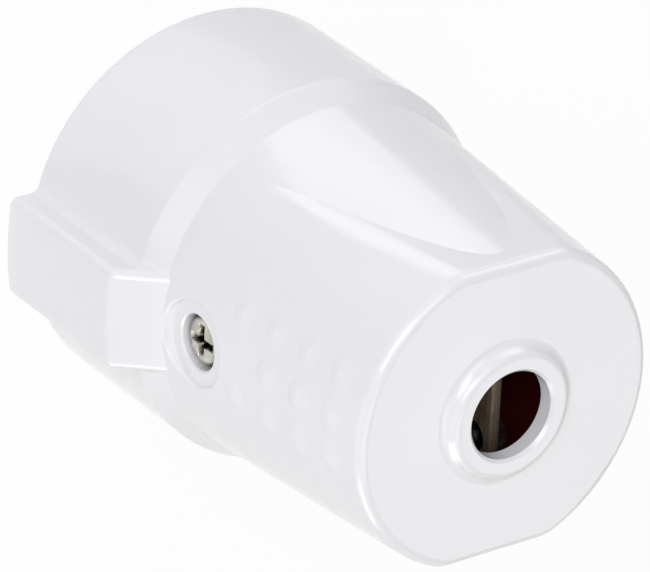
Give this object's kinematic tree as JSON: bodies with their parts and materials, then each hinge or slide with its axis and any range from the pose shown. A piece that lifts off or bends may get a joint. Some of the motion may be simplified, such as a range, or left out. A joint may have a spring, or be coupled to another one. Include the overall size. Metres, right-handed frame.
{
  "type": "inline socket connector",
  "caption": "Round inline power socket connector: recessed socket face with side earth clips, tapered moulded sleeve with grip dots, side locking screws and a lipped cable entry.",
  "frame": {"origin": "centre of the socket rim, on the plane the connector stands on", "axes": "+Z along the axis from the socket rim to the cable entry, X along the line of the pin holes, Y through the two side pads and earth clips"},
  "size_m": [0.047, 0.0528, 0.0612],
  "materials": {
    "housing_white": "glossy moulded thermoplastic",
    "face_white": "satin moulded thermoplastic",
    "base_brown": "matt pressed phenolic",
    "contact_brass": "turned, bright",
    "earth_nickel": "stamped, nickel plated",
    "clamp_steel": "rolled and brushed along its length",
    "spring_steel": "rolled spring steel",
    "screw_nickel": "nickel plated steel",
    "screw_zinc": "zinc plated steel"
  },
  "bodies": {
    "root": {"housing": "housing_white", "socket_face": "face_white", "contact_base": "base_brown", "cord_hood": "base_brown", "line_contact": "contact_brass", "neutral_contact": "contact_brass", "line_terminal_screw": "screw_zinc", "neutral_terminal_screw": "screw_zinc", "line_contact_spring": "spring_steel", "neutral_contact_spring": "spring_steel", "earth_bridge": "contact_brass", "earth_post": "contact_brass", "earth_terminal_screw": "screw_zinc", "earth_clip_front": "earth_nickel", "earth_clip_rear": "earth_nickel", "earth_rivet_front": "contact_brass", "earth_rivet_rear": "contact_brass", "face_screw": "screw_nickel", "cord_clamp_bar": "clamp_steel", "cord_clamp_screw_left": "screw_zinc", "cord_clamp_screw_right": "screw_zinc", "side_screw_front": "screw_nickel", "side_screw_rear": "screw_nickel", "side_nut_front": "screw_zinc", "side_nut_rear": "screw_zinc"}
  },
  "joints": []
}
